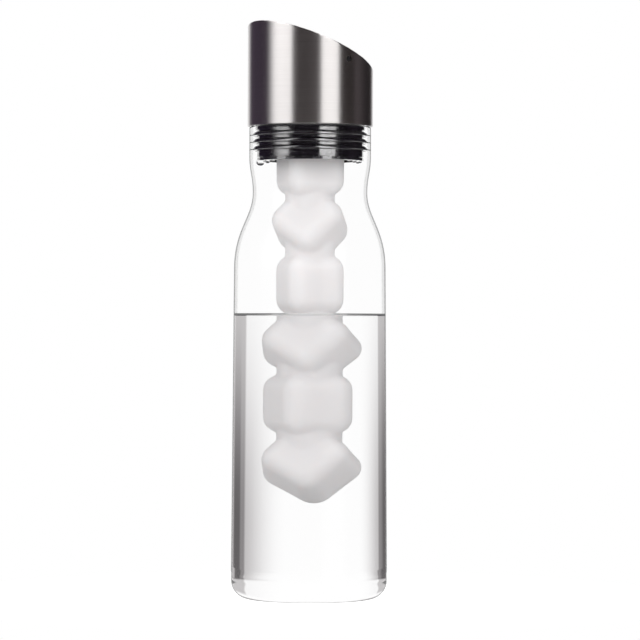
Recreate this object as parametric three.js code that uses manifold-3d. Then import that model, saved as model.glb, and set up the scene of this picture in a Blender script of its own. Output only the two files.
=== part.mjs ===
// A one-litre glass water carafe with a pour-through steel cap and an ice stick that hangs from the cap.
// Millimetres, +Z up. The origin is the centre of the foot, and the cap's spout is its high side, at -X.

import * as THREE from "three";
import { RoundedBoxGeometry } from "three/addons/geometries/RoundedBoxGeometry.js";
import { mergeVertices } from "three/addons/utils/BufferGeometryUtils.js";
import Module from "manifold-3d";

const wasm = await Module();
wasm.setup();

// Clearances
const SEAT_GAP = 0.3; // between pieces that press or rest on each other
const FLAP_GAP = 0.6; // running gap between the flap's edge and the cap

// Glass body
const BODY_LENGTH = 172; // foot to the start of the shoulder
const SHOULDER_LENGTH = 40; // shoulder to the waist of the neck
const FLARE_LENGTH = 19; // waist to the start of the straight mouth
const MOUTH_LENGTH = 15.2; // straight mouth, up to the rim
const BODY_FOOT_RADIUS = 40.8;
const BODY_TOP_RADIUS = 39.6;
const WAIST_RADIUS = 29.9;
const MOUTH_RADIUS = 31.8;
const GLASS_WALL = 1.6;
const BASE_THICKNESS = 3;
const HEEL_ROUND = 9.5; // outer corner between the foot and the side
const INNER_HEEL_ROUND = 8;
const FOOT_RING_WIDTH = 7; // flat ring that the carafe stands on
const PUNT_DEPTH = 1.2; // hollow under the foot
const SHOULDER_BULGE = 21; // how far the shoulder holds the body's direction
const SHOULDER_TUCK = 13; // how far it holds the waist's direction
const FLARE_REACH = 8; // the same at both ends of the flare

// Cap shell
const CAP_OVERHANG = 0.95; // how far the cap stands out past the mouth
const CAP_WALL = 0.8;
const CAP_HEIGHT = 53.85; // on the spout side
const CAP_SLANT = THREE.MathUtils.degToRad(22.7);

// Flap, its pin and its counterweight
const PIN_RADIUS = 1.25;
const PIN_OFFSET = 2.5; // from the cap's axis towards the low side
const PIN_DEPTH = 4.9; // square to the slanted rim
const PIN_RECESS = 0.5; // pin ends below the cap's surface
const FLAP_DEPTH = 1; // top of the flap below the slanted rim
const FLAP_THICKNESS = 1;
const FLAP_SIDE_CUT = 1.8; // flats beside the pin, which clear the cap as the flap turns
const CARRIER_MARGIN = 7; // flap that shows past its carrier
const CARRIER_THICKNESS = 1.4;
const SLEEVE_ROUND = 2.3; // pin sleeve of the carrier
const SLEEVE_END_GAP = 1.2; // carrier's pin sleeve to the cap
const WEIGHT_RADIUS = 4;
const WEIGHT_LENGTH = 38;
const WEIGHT_DROP = 7.2; // counterweight below the pin
const CHEEK_THICKNESS = 3;
const CHEEK_SPREAD = 26; // centre to centre
const CHEEK_EDGE = 1.6; // wall of a cheek round the counterweight

// Seat ring inside the cap
const SEAT_RING_WALL = 2.2;
const SEAT_RING_LOW = 9; // height on the side where the flap swings in
const SEAT_RING_STEP = 4; // seat ends this far on the spout side of the axis

// Stopper body and its silicone sleeve
const FLANGE_THICKNESS = 3;
const STOPPER_DEPTH = 18;
const STOPPER_WALL = 2.2;
const BEAD_HEIGHT = 1.4; // rim under the silicone sleeve
const HUB_WALL = 3.2;
const HUB_DROP = 3; // hub below the flange's underside
const HUB_ROOF = 1.8;
const SPOKE_COUNT = 3;
const SPOKE_WIDTH = 3;
const SPOKE_HEIGHT = 5;
const SLEEVE_WALL = 1.2;
const COLLAR_HEIGHT = 2; // thick band of the sleeve, just under the flange
const COLLAR_WALL = 0.8; // how far the band stands out
const FIN_COUNT = 3;
const FIN_LENGTH = 2;
const FIN_PITCH = 3.75;
const FIN_FIRST = 3.8; // first fin below the flange
const FIN_ROOT = 2.4;
const FIN_TIP = 0.5;
const FIN_DROOP = 1.2; // tip lower than the root

// Ice stick
const CUBE_COUNT = 6; // upright and cornered cubes by turns
const CUBE_SIDE = 31;
const CUBE_ROUND = 8;
const CORNER_SPIN = THREE.MathUtils.degToRad(53); // a cornered cube: spin, then tilt, then heading
const CORNER_TILT = THREE.MathUtils.degToRad(62);
const CORNER_HEADING = THREE.MathUtils.degToRad(-33);
const CORE_RADIUS = 13; // round column that joins the cubes
const STICK_WALL = 1.6;
const STICK_TURN = THREE.MathUtils.degToRad(-12.4);
const STICK_DROP = 5.2; // top of the first cube below the flange
const NECK_RADIUS = 10;
const NECK_RISE = 8.2; // neck above the first cube
const FILL_GAP = 9; // air above the coolant, inside the neck and the first cube
const PLUG_HEAD = 1.2;
const PLUG_LENGTH = 6;
const PLUG_GROOVE = 1.6; // depth of the groove for the sealing ring
const RING_THICKNESS = 1.4;

// Smoothness
const ROUND_SIDES = 36;
const CAP_SIDES = 60;
const SMALL_SIDES = 20;
const CURVE_STEPS = 5;
const CUBE_STEPS = 2; // on the outside of the ice stick
const CAVITY_STEPS = 1; // inside it

// Heights of the glass, and its inner radii
const WAIST_Z = BODY_LENGTH + SHOULDER_LENGTH;
const MOUTH_Z = WAIST_Z + FLARE_LENGTH;
const RIM_Z = MOUTH_Z + MOUTH_LENGTH;
const MOUTH_BORE = MOUTH_RADIUS - GLASS_WALL;

// The lid's own frame has its zero at the underside of the flange
const LID_Z = RIM_Z + SEAT_GAP;
const CAP_RADIUS = MOUTH_RADIUS + CAP_OVERHANG;
const CAP_BORE = CAP_RADIUS - CAP_WALL;
const CAP_AXIS_HEIGHT = CAP_HEIGHT - CAP_RADIUS * Math.tan(CAP_SLANT);
const PIN_Z = CAP_AXIS_HEIGHT - PIN_OFFSET * Math.tan(CAP_SLANT) - PIN_DEPTH / Math.cos(CAP_SLANT);
const FLAP_RADIUS = CAP_BORE - FLAP_GAP;
const SLEEVE_RADIUS = MOUTH_BORE - SEAT_GAP - FIN_LENGTH;
const TUBE_RADIUS = SLEEVE_RADIUS - SLEEVE_WALL - SEAT_GAP;
const TUBE_BORE = TUBE_RADIUS - STOPPER_WALL;
const HUB_BORE = NECK_RADIUS + SEAT_GAP;
const HUB_RADIUS = HUB_BORE + HUB_WALL;
const NECK_BORE = NECK_RADIUS - STICK_WALL;
const NECK_TOP = NECK_RISE - STICK_DROP;
const PLUG_TOP = NECK_TOP + SEAT_GAP + PLUG_HEAD;
const HUB_CEILING = PLUG_TOP + SEAT_GAP;
const TOP_CUBE_Z = -STICK_DROP - CUBE_SIDE / 2;

// Colours and finishes
const clearGlass = () =>
  new THREE.MeshStandardMaterial({ color: 0xf2f6f5, roughness: 0.05, transparent: true, opacity: 0.3 });
const brushedSteel = () => new THREE.MeshStandardMaterial({ color: 0xb9b5b1, roughness: 0.3, metalness: 1 });
const polishedSteel = () => new THREE.MeshStandardMaterial({ color: 0xc8c8c8, roughness: 0.15, metalness: 1 });
const blackPlastic = () => new THREE.MeshStandardMaterial({ color: 0x141317, roughness: 0.45 });
const blackSilicone = () => new THREE.MeshStandardMaterial({ color: 0x17161b, roughness: 0.35 });
const frostedPlastic = () => new THREE.MeshStandardMaterial({ color: 0xe4e2e1, roughness: 0.5 });
const whiteSilicone = () => new THREE.MeshStandardMaterial({ color: 0xdedede, roughness: 0.6 });
const coolantGel = () => new THREE.MeshStandardMaterial({ color: 0xeef1f2, roughness: 0.3 });

// A closed three.js geometry as a solid that can be joined and cut
function solid(geometry) {
  const bare = geometry.clone();
  bare.deleteAttribute("normal");
  bare.deleteAttribute("uv");
  const merged = mergeVertices(bare, 1e-4);
  const mesh = new wasm.Mesh({
    numProp: 3,
    vertProperties: merged.attributes.position.array,
    triVerts: new Uint32Array(merged.index.array),
  });
  return new wasm.Manifold(mesh);
}

// A solid back as a geometry with flat-shaded faces
function geometryOf(body) {
  const mesh = body.getMesh();
  const indexed = new THREE.BufferGeometry();
  indexed.setAttribute("position", new THREE.BufferAttribute(new Float32Array(mesh.vertProperties), 3));
  indexed.setIndex(new THREE.BufferAttribute(new Uint32Array(mesh.triVerts), 1));
  const geometry = indexed.toNonIndexed();
  geometry.computeVertexNormals();
  return geometry;
}

// An outline of radius and height, turned about the Z axis
function revolve(outline, sides = ROUND_SIDES) {
  return new THREE.LatheGeometry(outline.getPoints(CURVE_STEPS), sides).rotateX(Math.PI / 2);
}

// A ring of rectangular section about the Z axis
function ring(inner, outer, bottom, top, sides = ROUND_SIDES) {
  const outline = new THREE.Path().moveTo(inner, bottom);
  outline.lineTo(outer, bottom).lineTo(outer, top).lineTo(inner, top).lineTo(inner, bottom);
  return revolve(outline, sides);
}

// A round bar along Z
function post(radius, bottom, top, sides = SMALL_SIDES) {
  const bar = new THREE.CylinderGeometry(radius, radius, top - bottom, sides).rotateX(Math.PI / 2);
  return bar.translate(0, 0, (bottom + top) / 2);
}

// A round bar along Y
function axle(radius, length, sides = SMALL_SIDES) {
  return new THREE.CylinderGeometry(radius, radius, length, sides);
}

function part(name, geometry, material) {
  const mesh = new THREE.Mesh(geometry, material);
  mesh.name = name;
  return mesh;
}

// Everything above a plane that is parallel to the slanted rim, and a depth below it
function spaceAboveRim(depth) {
  const span = 4 * (CAP_HEIGHT + CAP_RADIUS);
  const block = new THREE.BoxGeometry(span, span, span).translate(0, 0, span / 2 - depth);
  return solid(block.rotateY(CAP_SLANT).translate(0, 0, CAP_AXIS_HEIGHT));
}

// The bottle: a punted foot, a slightly tapered body, an S-curved shoulder and a flared mouth
function glassBody() {
  const outline = new THREE.Path();
  const footEdge = BODY_FOOT_RADIUS - HEEL_ROUND;
  const puntEdge = footEdge - FOOT_RING_WIDTH;
  outline.moveTo(0, PUNT_DEPTH);
  outline.quadraticCurveTo(puntEdge / 2, PUNT_DEPTH, puntEdge, 0);
  outline.lineTo(footEdge, 0);
  outline.absarc(footEdge, HEEL_ROUND, HEEL_ROUND, -Math.PI / 2, 0, false);
  outline.lineTo(BODY_TOP_RADIUS, BODY_LENGTH);
  outline.bezierCurveTo(
    BODY_TOP_RADIUS, BODY_LENGTH + SHOULDER_BULGE,
    WAIST_RADIUS, WAIST_Z - SHOULDER_TUCK,
    WAIST_RADIUS, WAIST_Z,
  );
  outline.bezierCurveTo(
    WAIST_RADIUS, WAIST_Z + FLARE_REACH,
    MOUTH_RADIUS, MOUTH_Z - FLARE_REACH,
    MOUTH_RADIUS, MOUTH_Z,
  );
  const lip = GLASS_WALL / 2;
  outline.lineTo(MOUTH_RADIUS, RIM_Z - lip);
  outline.absarc(MOUTH_RADIUS - lip, RIM_Z - lip, lip, 0, Math.PI, false);
  outline.lineTo(MOUTH_BORE, MOUTH_Z);
  outline.bezierCurveTo(
    MOUTH_BORE, MOUTH_Z - FLARE_REACH,
    WAIST_RADIUS - GLASS_WALL, WAIST_Z + FLARE_REACH,
    WAIST_RADIUS - GLASS_WALL, WAIST_Z,
  );
  outline.bezierCurveTo(
    WAIST_RADIUS - GLASS_WALL, WAIST_Z - SHOULDER_TUCK,
    BODY_TOP_RADIUS - GLASS_WALL, BODY_LENGTH + SHOULDER_BULGE,
    BODY_TOP_RADIUS - GLASS_WALL, BODY_LENGTH,
  );
  const floorEdge = BODY_FOOT_RADIUS - GLASS_WALL - INNER_HEEL_ROUND;
  const innerHeelZ = BASE_THICKNESS + INNER_HEEL_ROUND;
  outline.lineTo(BODY_FOOT_RADIUS - GLASS_WALL, innerHeelZ);
  outline.absarc(floorEdge, innerHeelZ, INNER_HEEL_ROUND, 0, -Math.PI / 2, true);
  outline.lineTo(0, BASE_THICKNESS);
  return part("glass_body", revolve(outline), clearGlass());
}

// A steel tube cut off at a slant, with a hole for the pin on each side
function capShell() {
  const tube = solid(ring(CAP_BORE, CAP_RADIUS, 0, CAP_HEIGHT + CAP_RADIUS, CAP_SIDES));
  const pinHoles = solid(axle(PIN_RADIUS + SEAT_GAP, 3 * CAP_RADIUS).translate(PIN_OFFSET, 0, PIN_Z));
  return part("cap_shell", geometryOf(tube.subtract(spaceAboveRim(0)).subtract(pinHoles)), brushedSteel());
}

// A liner that the spout half of the flap closes on. It is low on the other half, where the flap swings in.
function seatRing() {
  const outer = CAP_BORE - SEAT_GAP;
  const seatDepth = FLAP_DEPTH + FLAP_THICKNESS + SEAT_GAP;
  const bottom = FLANGE_THICKNESS + SEAT_GAP;
  const tube = solid(ring(outer - SEAT_RING_WALL, outer, bottom, CAP_HEIGHT + CAP_RADIUS, CAP_SIDES));
  const span = 4 * CAP_HEIGHT;
  const swing = new THREE.BoxGeometry(span, span, span);
  swing.translate(span / 2 - SEAT_RING_STEP, 0, span / 2 + bottom + SEAT_RING_LOW);
  const cut = tube.subtract(spaceAboveRim(seatDepth)).subtract(solid(swing));
  return part("seat_ring", geometryOf(cut), blackPlastic());
}

// A flange under the cap, a tube down into the mouth, and a hub on spokes that the ice stick screws into
function stopperBody() {
  const shell = new THREE.Path().moveTo(TUBE_BORE, -STOPPER_DEPTH);
  shell.lineTo(SLEEVE_RADIUS, -STOPPER_DEPTH).lineTo(SLEEVE_RADIUS, BEAD_HEIGHT - STOPPER_DEPTH);
  shell.lineTo(TUBE_RADIUS, BEAD_HEIGHT - STOPPER_DEPTH).lineTo(TUBE_RADIUS, 0);
  shell.lineTo(CAP_BORE - SEAT_GAP, 0).lineTo(CAP_BORE - SEAT_GAP, FLANGE_THICKNESS);
  shell.lineTo(TUBE_BORE, FLANGE_THICKNESS).lineTo(TUBE_BORE, -STOPPER_DEPTH);
  let body = solid(revolve(shell));

  const hub = new THREE.Path().moveTo(HUB_BORE, -HUB_DROP).lineTo(HUB_RADIUS, -HUB_DROP);
  hub.lineTo(HUB_RADIUS, HUB_CEILING).lineTo(HUB_RADIUS - HUB_ROOF, HUB_CEILING + HUB_ROOF);
  hub.lineTo(0, HUB_CEILING + HUB_ROOF).lineTo(0, HUB_CEILING).lineTo(HUB_BORE, HUB_CEILING);
  hub.lineTo(HUB_BORE, -HUB_DROP);
  body = body.add(solid(revolve(hub, SMALL_SIDES)));

  const reach = (TUBE_BORE + TUBE_RADIUS) / 2 - (HUB_BORE + HUB_RADIUS) / 2;
  for (let i = 0; i < SPOKE_COUNT; i++) {
    const spoke = new THREE.BoxGeometry(reach, SPOKE_WIDTH, SPOKE_HEIGHT);
    spoke.translate((HUB_BORE + HUB_RADIUS + reach) / 2, 0, SPOKE_HEIGHT / 2 - HUB_DROP);
    body = body.add(solid(spoke.rotateZ((i * 2 * Math.PI) / SPOKE_COUNT)));
  }
  return part("stopper_body", geometryOf(body), blackPlastic());
}

// A silicone sleeve round the stopper, with a band at its top and barbed fins that seal on the glass
function sealSleeve() {
  const inner = TUBE_RADIUS + SEAT_GAP;
  const top = -SEAT_GAP;
  const bottom = BEAD_HEIGHT + SEAT_GAP - STOPPER_DEPTH;
  const outline = new THREE.Path().moveTo(inner, bottom).lineTo(SLEEVE_RADIUS, bottom);
  for (let i = FIN_COUNT - 1; i >= 0; i--) {
    const rootZ = -FIN_FIRST - i * FIN_PITCH;
    const tipZ = rootZ - FIN_DROOP;
    outline.lineTo(SLEEVE_RADIUS, rootZ - FIN_ROOT / 2).lineTo(SLEEVE_RADIUS + FIN_LENGTH, tipZ - FIN_TIP / 2);
    outline.lineTo(SLEEVE_RADIUS + FIN_LENGTH, tipZ + FIN_TIP / 2).lineTo(SLEEVE_RADIUS, rootZ + FIN_ROOT / 2);
  }
  outline.lineTo(SLEEVE_RADIUS, top - COLLAR_HEIGHT).lineTo(SLEEVE_RADIUS + COLLAR_WALL, top - COLLAR_HEIGHT);
  outline.lineTo(SLEEVE_RADIUS + COLLAR_WALL, top).lineTo(inner, top).lineTo(inner, bottom);
  return part("seal_sleeve", revolve(outline), blackSilicone());
}

function hingePin() {
  const reach = Math.sqrt(CAP_RADIUS ** 2 - PIN_OFFSET ** 2) - PIN_RECESS;
  return part("hinge_pin", axle(PIN_RADIUS, 2 * reach).translate(PIN_OFFSET, 0, PIN_Z), polishedSteel());
}

// An ellipse that fills the slanted bore at a height above the pin, with a flat beside the pin on each side
function flapOutline(radius, flat, height) {
  const long = radius / Math.cos(CAP_SLANT);
  const centre = -PIN_OFFSET / Math.cos(CAP_SLANT) - height * Math.tan(CAP_SLANT);
  const end = Math.asin(flat / radius);
  const outline = new THREE.Shape();
  outline.absellipse(centre, 0, long, radius, -end, end, false, 0);
  outline.absellipse(centre, 0, long, radius, Math.PI - end, Math.PI + end, false, 0);
  return outline;
}

function plate(outline, bottom, thickness) {
  const settings = { depth: thickness, bevelEnabled: false, curveSegments: CURVE_STEPS * 2 };
  return new THREE.ExtrudeGeometry(outline, settings).translate(0, 0, bottom);
}

// The flap turns about the pin: its frame has the pin along Y and the plate square to Z
function flap() {
  const group = new THREE.Group();
  group.position.set(PIN_OFFSET, 0, PIN_Z);
  group.rotation.y = CAP_SLANT;

  const plateBottom = PIN_DEPTH - FLAP_DEPTH - FLAP_THICKNESS;
  const plateMiddle = plateBottom + FLAP_THICKNESS / 2;
  const flat = FLAP_RADIUS - FLAP_SIDE_CUT;
  const lid = plate(flapOutline(FLAP_RADIUS, flat, plateMiddle), plateBottom, FLAP_THICKNESS);
  group.add(part("flap_plate", lid, brushedSteel()));

  const padBottom = plateBottom - SEAT_GAP - CARRIER_THICKNESS;
  const padRadius = FLAP_RADIUS - CARRIER_MARGIN;
  const pad = plate(flapOutline(padRadius, padRadius - FLAP_SIDE_CUT, padBottom), padBottom, CARRIER_THICKNESS);
  const sleeveLength = 2 * (flat - SLEEVE_END_GAP);
  const rise = padBottom + CARRIER_THICKNESS;
  const webHeight = rise / 2 + PIN_RADIUS;
  const web = new THREE.BoxGeometry(2 * SLEEVE_ROUND, sleeveLength, webHeight).translate(0, 0, rise - webHeight / 2);
  let carrier = solid(pad).add(solid(axle(SLEEVE_ROUND, sleeveLength))).add(solid(web));

  const cheekRound = WEIGHT_RADIUS + SEAT_GAP + CHEEK_EDGE;
  for (const side of [-1, 1]) {
    const y = (side * CHEEK_SPREAD) / 2;
    const eye = axle(cheekRound, CHEEK_THICKNESS).translate(0, y, -WEIGHT_DROP);
    const arm = new THREE.BoxGeometry(2 * cheekRound, CHEEK_THICKNESS, WEIGHT_DROP + rise);
    arm.translate(0, y, (rise - WEIGHT_DROP) / 2);
    carrier = carrier.add(solid(eye)).add(solid(arm));
  }
  const pinBore = axle(PIN_RADIUS + SEAT_GAP, 3 * FLAP_RADIUS);
  const weightBore = axle(WEIGHT_RADIUS + SEAT_GAP, 3 * FLAP_RADIUS).translate(0, 0, -WEIGHT_DROP);
  carrier = carrier.subtract(solid(pinBore)).subtract(solid(weightBore));
  group.add(part("flap_carrier", geometryOf(carrier), blackPlastic()));

  const weight = axle(WEIGHT_RADIUS, WEIGHT_LENGTH).translate(0, 0, -WEIGHT_DROP);
  group.add(part("counterweight", weight, polishedSteel()));
  return group;
}

// The stacked cubes of the ice stick, drawn in by a wall: every second cube stands on a corner
function cubeStack(wall, top, steps) {
  const side = CUBE_SIDE - 2 * wall;
  const round = CUBE_ROUND - wall;
  const lowest = TOP_CUBE_Z - (CUBE_COUNT - 1) * CUBE_SIDE;
  let stack = solid(post(CORE_RADIUS - wall, lowest, TOP_CUBE_Z));
  for (let i = 0; i < CUBE_COUNT; i++) {
    const cube = new RoundedBoxGeometry(side, side, side, steps, round);
    if (i % 2) cube.rotateZ(CORNER_SPIN).rotateX(CORNER_TILT).rotateZ(CORNER_HEADING);
    stack = stack.add(solid(cube.translate(0, 0, TOP_CUBE_Z - i * CUBE_SIDE)));
  }
  return stack.add(solid(post(NECK_RADIUS - wall, TOP_CUBE_Z, top)));
}

// A hollow stick, its coolant, and the plug that closes its neck
function iceStick() {
  const group = new THREE.Group();
  group.rotation.z = STICK_TURN;

  const cavity = cubeStack(STICK_WALL, NECK_TOP + STICK_WALL, CAVITY_STEPS);
  const shell = cubeStack(0, NECK_TOP, CUBE_STEPS).subtract(cavity);
  group.add(part("stick_shell", geometryOf(shell), frostedPlastic()));

  const level = NECK_TOP - FILL_GAP;
  const fill = cubeStack(STICK_WALL + SEAT_GAP, level, CAVITY_STEPS);
  group.add(part("coolant_core", geometryOf(fill), coolantGel()));

  const stem = NECK_BORE - SEAT_GAP;
  const groove = stem - PLUG_GROOVE;
  const ringMiddle = NECK_TOP - PLUG_LENGTH / 2;
  const grooveHalf = RING_THICKNESS / 2 + SEAT_GAP;
  const outline = new THREE.Path().moveTo(0, NECK_TOP - PLUG_LENGTH).lineTo(stem, NECK_TOP - PLUG_LENGTH);
  outline.lineTo(stem, ringMiddle - grooveHalf).lineTo(groove, ringMiddle - grooveHalf);
  outline.lineTo(groove, ringMiddle + grooveHalf).lineTo(stem, ringMiddle + grooveHalf);
  outline.lineTo(stem, NECK_TOP + SEAT_GAP).lineTo(NECK_RADIUS, NECK_TOP + SEAT_GAP);
  outline.lineTo(NECK_RADIUS, PLUG_TOP).lineTo(0, PLUG_TOP);
  group.add(part("stick_plug", revolve(outline, SMALL_SIDES), frostedPlastic()));

  const seal = new THREE.TorusGeometry(stem - RING_THICKNESS / 2, RING_THICKNESS / 2, CURVE_STEPS, SMALL_SIDES);
  group.add(part("plug_seal", seal.translate(0, 0, ringMiddle), whiteSilicone()));
  return group;
}

// Everything that lifts out of the glass
function lid() {
  const group = new THREE.Group();
  group.position.z = LID_Z;
  group.add(capShell(), seatRing(), stopperBody(), sealSleeve(), hingePin(), flap(), iceStick());
  return group;
}

const carafe = new THREE.Group();
carafe.add(glassBody(), lid());

export default carafe;
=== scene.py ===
import math

import bpy
from mathutils import Matrix, Vector


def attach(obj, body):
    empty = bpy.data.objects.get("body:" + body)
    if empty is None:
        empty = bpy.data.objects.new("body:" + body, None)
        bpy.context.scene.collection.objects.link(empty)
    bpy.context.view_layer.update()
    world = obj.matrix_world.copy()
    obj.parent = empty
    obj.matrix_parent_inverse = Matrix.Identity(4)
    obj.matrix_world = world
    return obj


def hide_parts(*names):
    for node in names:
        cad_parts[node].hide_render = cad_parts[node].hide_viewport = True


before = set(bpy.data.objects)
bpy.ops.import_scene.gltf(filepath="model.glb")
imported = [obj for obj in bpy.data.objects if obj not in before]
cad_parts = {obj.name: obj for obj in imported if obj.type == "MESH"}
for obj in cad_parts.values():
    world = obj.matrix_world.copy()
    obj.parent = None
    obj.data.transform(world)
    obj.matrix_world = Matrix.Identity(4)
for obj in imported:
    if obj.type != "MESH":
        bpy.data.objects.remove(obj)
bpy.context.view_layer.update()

MM = 0.001

# Where the photograph was taken from: the camera stands this far round from the front, level with the water
VIEW_TURN = math.radians(-33.3)
CAMERA_DISTANCE = 1.829
CAMERA_HEIGHT = 0.1455
CAMERA_ROLL = math.radians(0.17)
CAMERA_SIDE_STEP = 0.0054
LENS_MM = 196.9
SENSOR_MM = 36.0

TOWARDS_CAMERA = Vector((math.sin(VIEW_TURN), -math.cos(VIEW_TURN), 0))
AWAY = -TOWARDS_CAMERA
RIGHT = Vector((math.cos(VIEW_TURN), math.sin(VIEW_TURN), 0))
UP = Vector((0, 0, 1))

# Sizes of the glass, as in the solids, in millimetres
BODY_LENGTH = 172
WAIST_Z = 212
MOUTH_Z = 231
RIM_Z = 246.2
BODY_FOOT_RADIUS = 40.8
BODY_TOP_RADIUS = 39.6
WAIST_RADIUS = 29.9
MOUTH_RADIUS = 31.8
GLASS_WALL = 1.6
BASE_THICKNESS = 3
HEEL_ROUND = 9.5
INNER_HEEL_ROUND = 8
FOOT_RING_WIDTH = 7
PUNT_DEPTH = 1.2
SHOULDER_BULGE = 21
SHOULDER_TUCK = 13
FLARE_REACH = 8
MOUTH_BORE = MOUTH_RADIUS - GLASS_WALL
FOOT_BORE = BODY_FOOT_RADIUS - GLASS_WALL
FLOOR_EDGE = FOOT_BORE - INNER_HEEL_ROUND
INNER_HEEL = (FLOOR_EDGE, BASE_THICKNESS + INNER_HEEL_ROUND)  # middle of its round

# Water
WATER_LEVEL = 147.6
MENISCUS_RISE = 1.3
MENISCUS_WIDTH = 1.4
MENISCUS_REACH = 12  # from the glass to where the water lies flat
MENISCUS_STEPS = 24
WATER_OVERLAP = 0.06  # into the glass, so that no film of air is left between them

# Lid
SEAT_GAP = 0.3
LID_Z = RIM_Z + SEAT_GAP
CAP_RADIUS = 32.75
CAP_WALL = 0.8
CAP_BORE = CAP_RADIUS - CAP_WALL
CAP_HEIGHT = 53.85
CAP_SPARE = 4  # tube above the slanted rim, which is cut away
CAP_SLANT = math.radians(22.7)
CAP_AXIS_Z = LID_Z + CAP_HEIGHT - CAP_RADIUS * math.tan(CAP_SLANT)
EDGE_BREAK = 0.15
PIN_HOLE_RADIUS = 1.55
PIN_OFFSET = 2.5
PIN_DEPTH = 4.9
PIN_Z = CAP_AXIS_Z - PIN_OFFSET * math.tan(CAP_SLANT) - PIN_DEPTH / math.cos(CAP_SLANT)
FLAP_GAP = 0.6
FLAP_RADIUS = CAP_BORE - FLAP_GAP
FLAP_SIDE_CUT = 1.8  # flats beside the pin, which clear the cap as the flap turns
FLAP_FLAT = FLAP_RADIUS - FLAP_SIDE_CUT
FLAP_THICKNESS = 1.0
FLAP_DEPTH = 1.0

# Stopper
STOPPER_DEPTH = 18
SLEEVE_WALL = 1.2
SLEEVE_RADIUS = 27.9
SLEEVE_INNER = SLEEVE_RADIUS - SLEEVE_WALL
BEAD_HEIGHT = 1.4
FIN_PRESS = 0.05  # fins into the glass that they press on
FIN_LENGTH = MOUTH_BORE + FIN_PRESS - SLEEVE_RADIUS
FIN_PITCH = 3.75
FIN_FIRST = 3.8
FIN_COUNT = 3
FIN_ROOT = 1.7
FIN_TIP = 0.5
FIN_DROOP = 1.2
FIN_TIP_RISE = 0.5  # shares of the droop and of the length that dome its top
FIN_DOME = 0.6
COLLAR_HEIGHT = 2
COLLAR_WALL = 0.8

# Drops left under the stopper: bearings from the camera's direction and radii
DROPS = ((-73, 2.0), (-54, 1.3), (-45, 0.9), (48, 0.8), (57, 1.0), (66, 1.2), (74, 0.9))
DROP_FLATTEN = 0.9
DROP_HANG = 0.5  # share of its radius by which a drop's middle hangs below the edge

# Ice stick
CUBE_SIDE = 31
CUBE_ROUND = 8
CUBE_COUNT = 6
TOP_CUBE_DROP = 5.2  # top of the first cube below the cap's foot
TOP_CUBE_Z = LID_Z - TOP_CUBE_DROP - CUBE_SIDE / 2
CORE_RADIUS = 13
NECK_RADIUS = 10
NECK_RISE = 3.0  # above the cap's foot
NECK_TOP = LID_Z + NECK_RISE
STICK_TURN = math.radians(-12.4)
CORNER_SPIN = math.radians(53)
CORNER_TILT = math.radians(62)
CORNER_HEADING = math.radians(-33)
STICK_VOXEL = 0.8

# Meshes
ROUND_STEPS = 160
CAP_STEPS = 192
SAME_POINT = 1e-6  # points nearer than this are one, in millimetres on an outline and in metres on a mesh
SMOOTH_ANGLE = math.radians(35)
CAP_SHARP = math.radians(40)  # edges that turn by more than this are broken
FLAP_SHARP = math.radians(60)

# Glass and water as light meets them
GLASS_IOR = 1.47
WATER_IOR = 1.333
GLASS_PASSES = (0.99, 0.99, 0.99, 1)  # share of the light that passes each face to matt surfaces
WATER_PASSES = (0.87, 0.87, 0.87, 1)
GLASS_SHEEN = 0.02  # what the wall mirrors when looked at squarely
SHEEN_ROUGHNESS = 0.2
MIRRORS_FROM = 0.3  # Fresnel's share at a slant from which the surface mirrors
EDGE_FACING = (0.77, 0.9)  # how far the glass turns away while the painted shade on its edge deepens, and the grey of that shade
EDGE_PAINTED_SHADE = (0.22, 0.22, 0.22)
LAST_MIRROR = 4  # mirrorings and bounces after which light would end in black inside the glass
LAST_BOUNCE = 10
LOST_LIGHT = (0.3, 0.3, 0.3, 1)  # and the grey glow painted there instead, which stands in for that light


# Outlines, as points of radius and height in millimetres


def arc(centre, radius, start, end, steps):
    """Points round part of a circle, from one angle to another, in degrees."""
    angles = [math.radians(start + (end - start) * i / steps) for i in range(steps + 1)]
    return [(centre[0] + radius * math.cos(a), centre[1] + radius * math.sin(a)) for a in angles]


def bezier(a, b, c, d, steps):
    """Points along a curve that leaves a towards b and reaches d from c."""
    points = []
    for i in range(steps + 1):
        t = i / steps
        u = 1 - t
        weights = (u**3, 3 * u * u * t, 3 * u * t * t, t**3)
        points.append(tuple(sum(w * p[k] for w, p in zip(weights, (a, b, c, d))) for k in range(2)))
    return points


def line(a, b, steps):
    """Points along a straight line, both ends included."""
    return [(a[0] + (b[0] - a[0]) * i / steps, a[1] + (b[1] - a[1]) * i / steps) for i in range(steps + 1)]


def chain(*runs):
    """Runs of points as one outline, without the points that two runs share."""
    outline = []
    for run in runs:
        for point in run:
            if not outline or math.dist(point, outline[-1]) > SAME_POINT:
                outline.append(point)
    return outline


# Modelling


def start_over():
    """Object mode, with nothing selected."""
    if bpy.context.object and bpy.context.object.mode != "OBJECT":
        bpy.ops.object.mode_set(mode="OBJECT")
    bpy.ops.object.select_all(action="DESELECT")


def named(name):
    """The primitive that was just added, under its name."""
    piece = bpy.context.object
    piece.name = name
    piece.data.name = name
    return piece


def activate(*pieces):
    """Only these pieces selected, the first of them active."""
    start_over()
    for piece in pieces:
        piece.select_set(True)
    bpy.context.view_layer.objects.active = pieces[0]


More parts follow.
